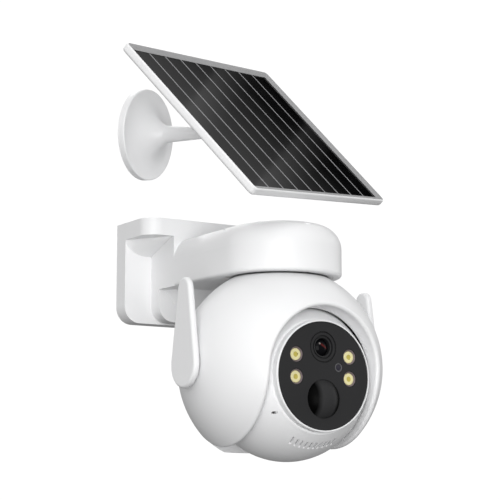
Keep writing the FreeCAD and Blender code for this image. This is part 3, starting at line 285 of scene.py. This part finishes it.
WHITE = (0.86, 0.862, 0.868)
finishes = {
    "white_shell": moulded("white_shell_finish", WHITE, 0.38, tint=0.012, painted_seam_shade=True),
    "white_rubber": moulded("white_rubber_finish", (0.74, 0.74, 0.74), 0.6, grain=600.0, depth=0.06),
    "black_rubber": moulded("black_rubber_finish", (0.025, 0.025, 0.026), 0.62, grain=600.0, depth=0.06,
                            tint=0.2),
    "plate_steel": metal("plate_steel_finish", (0.62, 0.62, 0.62), 0.4),
    "screw_steel": metal("screw_steel_finish", (0.6, 0.6, 0.6), 0.3, (1.0, 1.0, 1.0)),
    "motor_can": metal("motor_can_finish", (0.55, 0.55, 0.56), 0.32),
    "shaft_steel": metal("shaft_steel_finish", (0.66, 0.66, 0.67), 0.2),
    "acetal": moulded("acetal_finish", (0.82, 0.8, 0.74), 0.4),
    "cell_wrap": moulded("cell_wrap_finish", (0.06, 0.18, 0.42), 0.3, grain=300.0, depth=0.02, tint=0.15),
    "black_plastic": moulded("black_plastic_finish", (0.012, 0.012, 0.013), 0.42, tint=0.2),
    "board": board_finish(),
    "face_window": moulded("face_window_finish", (0.03, 0.03, 0.031), 0.5, grain=1200.0, depth=0.01, tint=0.1,
                           gloss=0.06),
    "lens_glass": glass_finish(),
    "lamp_yellow": moulded("lamp_yellow_finish", (0.8, 0.74, 0.4), 0.45, grain=1500.0, tint=0.15),
    # Painted shade: the cups' dark purple-grey stands in for the shadow inside the lamp recesses.
    "lamp_cup": moulded("lamp_cup_painted_shade_finish", (0.2, 0.16, 0.17), 0.3, grain=1500.0, depth=0.02, tint=0.12),
    "sensor_window": moulded("sensor_window_finish", (0.02, 0.018, 0.03), 0.3, tint=0.2),
    "pir_dome": dome_finish(),
    "sensor_can": metal("sensor_can_finish", (0.5, 0.5, 0.48), 0.35),
    "solar_cells": cell_finish(),
}
ring_finish = moulded("sensor_ring_finish", (0.1, 0.1, 0.105), 0.4, tint=0.1)
# Painted shade: the frame's sloping front lip gets a grey copy of the white shell, standing in for the shade
# on the slope.
painted_lip_shade = moulded("panel_lip_painted_shade", (0.36, 0.36, 0.365), 0.5, grain=700.0, depth=0.02, tint=0.08,
                     gloss=0.3)
busbar_finish = moulded("busbar_finish", (0.3, 0.3, 0.31), 0.45, grain=800.0, depth=0.01, tint=0.15,
                        gloss=0.2)
die_finish = moulded("lamp_die_finish", (0.52, 0.44, 0.09), 0.4, grain=1500.0, depth=0.02, tint=0.1)
for label, slot in SLOT_OF.items():
    materials = NODES[label].data.materials
    materials.clear()
    materials.append(finishes[slot])


# ---------------------------------------------------------------------------------------------
# Detailed pieces that stand for CAD nodes
# ---------------------------------------------------------------------------------------------

SAME_POINT = 1e-7
AXIS = 1e-6  # the radius of a turned shape's point on its axis
SHARP = math.radians(38)


def body_of(label):
    """The body that a CAD node rides on."""
    return next(body for body, nodes in frame["record"]["behaviour"]["bodies"].items() if label in nodes)


def piece(name, verts, faces, label, materials, smooth=True):
    """A new mesh that stands for the CAD node of that label and rides with its body."""
    mesh = bpy.data.meshes.new(name)
    mesh.from_pydata([tuple(v) for v in verts], [], [corners for corners, _ in faces])
    for material in materials:
        mesh.materials.append(material)
    for polygon, (_, index) in zip(mesh.polygons, faces):
        polygon.material_index = index
        polygon.use_smooth = smooth
    obj = bpy.data.objects.new(name, mesh)
    scene.collection.objects.link(obj)
    tidy_mesh(mesh)
    if smooth:
        mesh.set_sharp_from_angle(angle=SHARP)
    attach(obj, body_of(label))
    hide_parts(label)
    return obj


def tidy_mesh(mesh):
    """Joins points that coincide and turns every face outwards."""
    work = bmesh.new()
    work.from_mesh(mesh)
    bmesh.ops.remove_doubles(work, verts=work.verts, dist=SAME_POINT)
    bmesh.ops.recalc_face_normals(work, faces=work.faces)
    work.to_mesh(mesh)
    work.free()


def wrap(rows, count):
    """The quads of a grid that closes on itself both ways, as one list for each row of count points."""
    bands = []
    for i in range(rows):
        j = (i + 1) % rows
        bands.append([[i * count + k, i * count + (k + 1) % count, j * count + (k + 1) % count, j * count + k]
                      for k in range(count)])
    return bands


class Shape:
    """Collects vertices and faces for one piece, placed by an origin and three directions."""

    def __init__(self, origin, axes=((1, 0, 0), (0, 1, 0), (0, 0, 1))):
        self.origin = Vector(origin)
        self.axes = [Vector(axis).normalized() for axis in axes]
        self.verts = []
        self.faces = []

    def at(self, x, y, z):
        return self.origin + self.axes[0] * x + self.axes[1] * y + self.axes[2] * z

    def add(self, points, faces, index=0):
        base = len(self.verts)
        self.verts += [self.at(*point) for point in points]
        self.faces += [([base + corner for corner in face], index) for face in faces]

    def lathe(self, profile, centre=(0, 0), steps=72, index=0):
        """Turns a closed outline of (radius, depth) points about the local Y axis through centre (x, z)."""
        points = []
        for r, y in profile:
            for k in range(steps):
                angle = 2 * math.pi * k / steps
                points.append((centre[0] + r * math.cos(angle), y, centre[1] + r * math.sin(angle)))
        self.add(points, sum(wrap(len(profile), steps), []), index)

    def slab(self, x, y, z, index=0):
        """A box between two values on each axis."""
        points = [(a, b, c) for a in x for b in y for c in z]
        sides = [[0, 1, 3, 2], [4, 6, 7, 5], [0, 4, 5, 1], [2, 3, 7, 6], [0, 2, 6, 4], [1, 5, 7, 3]]
        self.add(points, sides, index)

    def finish(self, name, label, materials, **extra):
        return piece(name, self.verts, self.faces, label, materials, **extra)


def in_mm(*points):
    """(radius, depth) points given in millimetres."""
    return [(r * MM, y * MM) for r, y in points]


def inside(r, *points):
    """(inset, depth) points in millimetres, counted inwards from the radius r."""
    return [(r - inset * MM, y * MM) for inset, y in points]


def lens():
    """Stepped black barrel with two fine grooves round a strongly domed front element."""
    low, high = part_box("lens_barrel")
    centre = middle("lens_barrel")
    r = radius("lens_barrel")
    length = high.y - low.y
    bore = 0.385 * r
    seat = 4.6 * MM
    seat_floor = 3.1 * MM
    barrel = Shape((centre.x, low.y, centre.z))
    rim = inside(r, (0.0, 0.9), (0.1, 0.5), (0.45, 0.5), (0.7, 0.05))
    groove = inside(r, (1.9, 0.12), (2.15, 1.0), (2.65, 1.0), (2.85, 0.4))
    mouth = [(seat + 0.15 * MM, 0.5 * MM), (seat, 0.8 * MM), (seat, seat_floor), (bore, seat_floor)]
    barrel.lathe([(bore, length), (r, length)] + rim + groove + mouth)
    barrel.finish("lens_stepped_barrel", "lens_barrel", [finishes["black_plastic"]])

    aperture = seat - 0.05 * MM
    glass_back = seat_floor - 0.05 * MM
    dome = 5.6 * MM
    apex = 0.35 * MM
    rows = 14
    front = []
    for i in range(rows + 1):
        out = max(aperture * i / rows, AXIS)
        front.append((out, apex + dome - math.sqrt(dome ** 2 - out ** 2)))
    low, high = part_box("lens_glass")
    behind = high.y - barrel.origin.y
    neck = radius("lens_glass")
    glass = Shape(barrel.origin)
    glass.lathe(front + [(aperture, glass_back), (neck, glass_back), (neck, behind), (AXIS, behind)])
    glass.finish("lens_front_element", "lens_glass", [finishes["lens_glass"]])


def lamps():
    """Four cups whose thin dark purple-grey rim is painted shade for the recess, each filled by a cream
    phosphor disc round its yellow die.
    """
    low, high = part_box("lamp_reflectors")
    r = 3.95 * MM
    centres = [(x, z) for x in (low.x + r, high.x - r) for z in (low.z + r, high.z - r)]
    rim = inside(r, (0.0, 3.2), (0.0, 0.25), (0.12, 0.05), (0.3, 0.0), (0.42, 0.12))
    bowl = in_mm((3.35, 0.75), (2.6, 1.5), (2.6, 3.2))
    phosphor = in_mm((1.35, 0.62), (1.6, 0.52), (2.6, 0.5), (2.95, 0.6), (3.1, 0.85), (2.55, 1.45),
                     (2.55, 2.4), (1.35, 2.4))
    die = [(AXIS, 0.7 * MM)] + in_mm((0.9, 0.7), (1.35, 0.62), (1.35, 2.4)) + [(AXIS, 2.4 * MM)]
    cups = Shape((0, low.y, 0))
    emitters = Shape((0, low.y, 0))
    for centre in centres:
        cups.lathe(rim + bowl, centre, 48)
        emitters.lathe(phosphor, centre, 48)
        emitters.lathe(die, centre, 48, 1)
    cups.finish("lamp_cups", "lamp_reflectors", [finishes["lamp_cup"]])
    emitters.finish("lamp_emitters", "spot_lamps", [finishes["lamp_yellow"], die_finish])


def light_sensor():
    """A dark domed eye in a thin grey ring."""
    low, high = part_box("light_sensor")
    centre = middle("light_sensor")
    r = radius("light_sensor")
    foot = high.y - low.y
    shape = Shape((centre.x, low.y, centre.z))
    ring = inside(r, (0.0, 1.0), (0.0, 0.1), (0.15, 0.0), (0.55, 0.0), (0.7, 0.2), (0.7, 1.0))
    dome = [(AXIS, 0.15 * MM), (0.7 * MM, 0.22 * MM)] + inside(r, (0.75, 0.45), (0.75, 1.0))
    stalk = [(1.4 * MM, 1.0 * MM), (1.4 * MM, foot), (AXIS, foot)]
    shape.lathe(ring, steps=48, index=1)
    shape.lathe(dome + stalk, steps=48)
    shape.finish("light_sensor_eye", "light_sensor", [finishes["sensor_window"], ring_finish])


def box_axes(label):
    """Centre, edges (along its length, backwards and up) and sizes of a tilted box-shaped node."""
    corners = sorted({tuple(round(c, 7) for c in v.co) for v in NODES[label].data.vertices})
    first = Vector(corners[0])
    steps = sorted((Vector(c) - first for c in corners[1:]), key=lambda step: step.length)
    depth, width, _, length = steps[:4]  # the third is the diagonal of the first two
    if depth.y < 0:
        depth = -depth
    if width.z < 0:
        width = -width
    if length.x < 0:
        length = -length
    centre = sum((Vector(c) for c in corners), Vector()) / len(corners)
    return centre, (length, depth, width), (length.length, depth.length, width.length)


def reach(label, centre, axes):
    """Least and greatest offsets of a node's vertices along the three axes through centre."""
    out = []
    for axis in axes:
        along = [(v.co - centre).dot(axis.normalized()) for v in NODES[label].data.vertices]
        out += [min(along), max(along)]
    return out


def cell_sheet():
    """Nine dark cell strips under clear laminate, with the thin ribbon conductors between them."""
    centre, axes, (length, depth, width) = box_axes("solar_laminate")
    strips = 9
    margin = 2.1 * MM
    ribbon = 1.15 * MM
    front = -depth / 2
    cell_front = front + 0.02 * MM
    cell_back = front + 0.3 * MM
    sheet_front = front + 0.12 * MM
    span = length - 2 * margin
    pitch = span / strips
    up = (margin - width / 2, width / 2 - margin)
    shape = Shape(centre, axes)
    shape.slab((-length / 2, length / 2), (sheet_front, depth / 2), (-width / 2, width / 2), 2)
    for i in range(strips):
        start = i * pitch - span / 2
        left = start + ribbon / 2 * (i > 0)
        right = start + pitch - ribbon / 2 * (i < strips - 1)
        shape.slab((left, right), (cell_front, cell_back), up)
        if i:
            shape.slab((start - ribbon / 2, start + ribbon / 2), (front, cell_back), up, 1)
    sheet = shape.finish("cell_sheet", "solar_laminate",
                         [finishes["solar_cells"], busbar_finish, finishes["black_plastic"]], smooth=False)
    layer = sheet.data.uv_layers.new(name="cell")
    for loop in sheet.data.loops:
        offset = sheet.data.vertices[loop.vertex_index].co - shape.origin
        layer.data[loop.index].uv = (offset.dot(shape.axes[0]), offset.dot(shape.axes[2]))


def quarter(steps):
    """The angles of a quarter turn, in equal steps."""
    return [math.pi / 2 * k / steps for k in range(steps + 1)]


def frame_bars():
    """The panel's bullnosed frame, with its front lip sloping down to the cells in a grey painted shade."""
    centre, axes, (length, _, _) = box_axes("solar_laminate")
    low_x, high_x, front, back, low_z, high_z = reach("panel_frame", centre, axes)
    half_x = (high_x - low_x) / 2
    half_z = (high_z - low_z) / 2
    nose = 0.8 * MM
    heel = 2.0 * MM
    corner = 3.0 * MM
    least_corner = 0.2 * MM
    play = 0.05 * MM
    sheet_edge = half_x - length / 2
    foot = sheet_edge + 2.1 * MM
    lip_end = front + 1.4 * MM
    slot_front = front + 1.58 * MM
    slot_back = front + 3.45 * MM
    section = [(heel * (1 - math.sin(angle)), back - heel * (1 - math.cos(angle))) for angle in quarter(8)]
    section += [(nose * (1 - math.cos(angle)), front + nose * (1 - math.sin(angle))) for angle in quarter(6)]
    crest = len(section) - 1
    slot_end = sheet_edge - play
    section += [(foot, lip_end), (foot, slot_front), (slot_end, slot_front), (slot_end, slot_back),
                (foot - play, slot_back), (foot - play, back)]
    loops = [ring_points(half_x - inset, half_z - inset, max(corner - inset, least_corner))
             for inset, _ in section]
    points = [(x, y, z) for loop, (_, y) in zip(loops, section) for x, z in loop]
    bands = wrap(len(section), len(loops[0]))
    # The lip's faces take the grey painted shade.
    lip = bands[crest] + bands[crest + 1]
    shape = Shape(centre, axes)
    shape.add(points, sum(bands[:crest] + bands[crest + 2:], []))
    shape.faces += [(face, 1) for face in lip]
    shape.finish("frame_bars", "panel_frame", [finishes["white_shell"], painted_lip_shade])


def ring_points(half_x, half_z, corner, steps=6):
    """A rectangle with rounded corners, as a closed loop of (x, z) points."""
    loop = []
    for turns, (side_x, side_z) in enumerate(((1, 1), (-1, 1), (-1, -1), (1, -1))):
        for k in range(steps + 1):
            angle = math.pi / 2 * (turns + k / steps)
            loop.append((side_x * (half_x - corner) + corner * math.cos(angle),
                         side_z * (half_z - corner) + corner * math.sin(angle)))
    return loop


lens()
lamps()
light_sensor()
cell_sheet()
frame_bars()


# ---------------------------------------------------------------------------------------------
# Floor, light and camera
# ---------------------------------------------------------------------------------------------

VIEW_FROM = (-0.46766, -0.80683, -0.13095)  # where the camera stands
VIEW_BACK = Vector((-0.526, -0.8356, -0.1585))  # from what it looks at, back towards it
LENS_MM = 114.34
SENSOR_MM = 36.0

FLOOR_Z = -0.9
FLOOR_HALF = 8.0
FLOOR_GLOW = 0.42

SKY_BELOW = 0.0
SKY_ABOVE = 0.72
SKY_SEEN = 1.05

# The solar panel mirrors a faint haze and two soft bands, each with one crisp edge.
GLARE = 14.0
ALONG_BANDS = (13.37, 11.88, -0.464)  # by x and by y in the mirrored view, and at its middle
ACROSS_BANDS = (9.854, -7.94, 1.825)
BAND_EDGES = (0.715, 1.54)  # across the bands
BAND_FADE = 0.3
HAZE = (-0.058, 0.043)  # by the distance along the bands, and at its start
BAND_SHINE = (-0.022, 0.030)
PANEL_IN_VIEW = (0.003, 0.079, 0.0)  # right of the view's middle, and above it
GLARE_WHOLE = math.radians(8)  # the sky holds all of the glare this far from there
GLARE_ENDS = math.radians(15)

LIGHTS_AIM = (0.0, -0.08, 0.0)
LIGHT_SIDE = 1.3
LIGHTS = {
    "front_light": ((-0.9, -1.5, -0.27), 21.5),
    "right_light": ((1.65, -0.25, 0.17), 5.2),
    "left_light": ((-0.85, -1.25, 0.85), 5.4),
    "back_light": ((0.25, 1.2, 1.3), 12.0),
}


def pale_floor():
    f = Finish("pale_floor_finish")
    shade = f.mix(f.noise(3.0), (0.9, 0.9, 0.9), (0.86, 0.86, 0.86))
    f.set(Base_Color=shade, Roughness=0.8, Emission_Color=shade, Emission_Strength=FLOOR_GLOW)
    corners = [(-FLOOR_HALF, -FLOOR_HALF), (FLOOR_HALF, -FLOOR_HALF), (FLOOR_HALF, FLOOR_HALF),
               (-FLOOR_HALF, FLOOR_HALF)]
    mesh = bpy.data.meshes.new("floor")
    mesh.from_pydata([(x, y, FLOOR_Z) for x, y in corners], [], [(0, 1, 2, 3)])
    mesh.materials.append(f.material)
    floor = bpy.data.objects.new("floor", mesh)
    floor.visible_diffuse = False
    floor.visible_glossy = False
    scene.collection.objects.link(floor)


def view_turn():
    """The camera's rotation."""
    return (-VIEW_BACK).to_track_quat("-Z", "Y")


def panel_glare(sky, direction):
    """How bright the sky is where the solar panel mirrors it, and 1 in that part of the sky."""
    facing = -box_axes("solar_laminate")[1][1].normalized()

    def mirrored(axis):
        seen = view_turn() @ Vector(axis)
        return seen - 2 * seen.dot(facing) * facing

    def slope(by_x, by_y, start):
        return sky.calc("ADD", sky.calc("MULTIPLY_ADD", x, by_x, start), sky.calc("MULTIPLY", y, by_y))

    ahead = mirrored((0, 0, -1))
    away = sky.dot(direction, ahead)
    x = sky.calc("DIVIDE", sky.dot(direction, mirrored((1, 0, 0))), away)
    y = sky.calc("DIVIDE", sky.dot(direction, mirrored((0, 1, 0))), away)
    along = slope(*ALONG_BANDS)
    across = slope(*ACROSS_BANDS)
    light = sky.calc("MAXIMUM", sky.calc("MULTIPLY_ADD", along, *HAZE), 0.0)
    shine = sky.calc("MAXIMUM", sky.calc("MULTIPLY_ADD", along, *BAND_SHINE), 0.0)
    for edge in BAND_EDGES:
        past_edge = sky.calc("GREATER_THAN", across, edge)
        band = sky.calc("MULTIPLY", past_edge, sky.span(across, edge, edge + BAND_FADE, 1.0, 0.0))
        light = sky.calc("ADD", light, sky.calc("MULTIPLY", band, shine))
    near = sky.dot(direction, (ahead + mirrored(PANEL_IN_VIEW)).normalized())
    held = sky.span(near, math.cos(GLARE_ENDS), math.cos(GLARE_WHOLE), 0.0, 1.0)
    return sky.calc("MULTIPLY", light, GLARE), held


def soft_sky():
    """Even white surroundings to look at, and a softer light from them that is brightest overhead."""
    world = bpy.data.worlds.new("studio")
    world.use_nodes = True
    scene.world = world
    sky = Nodes(world.node_tree)
    direction = sky.add("ShaderNodeTexCoord").outputs["Generated"]
    height = sky.add("ShaderNodeSeparateXYZ", Vector=direction).outputs["Z"]
    overhead = sky.span(height, -1.0, 1.0, SKY_BELOW, SKY_ABOVE)
    glare, held = panel_glare(sky, direction)
    seen = sky.add("ShaderNodeLightPath").outputs["Is Camera Ray"]
    background = world.node_tree.nodes["Background"]
    sky.feed(background.inputs["Strength"], sky.blend(seen, sky.blend(held, overhead, glare), SKY_SEEN))
    sky.feed(background.inputs["Color"], (1.0, 1.0, 1.0, 1.0))


def area_light(name, at, power):
    light = bpy.data.lights.new(name, "AREA")
    light.size = LIGHT_SIDE
    light.energy = power
    lamp = bpy.data.objects.new(name, light)
    lamp.location = at
    lamp.rotation_euler = (Vector(LIGHTS_AIM) - Vector(at)).to_track_quat("-Z", "Y").to_euler()
    scene.collection.objects.link(lamp)


def camera():
    optics = bpy.data.cameras.new("camera")
    optics.sensor_width = SENSOR_MM
    optics.lens = LENS_MM
    optics.clip_start = 0.01
    optics.clip_end = 50.0
    view = bpy.data.objects.new("camera", optics)
    view.location = VIEW_FROM
    view.rotation_euler = view_turn().to_euler()
    scene.collection.objects.link(view)
    scene.camera = view


pale_floor()
soft_sky()
camera()
for light_name, (light_at, light_power) in LIGHTS.items():
    area_light(light_name, light_at, light_power)
scene.view_settings.view_transform = "Standard"
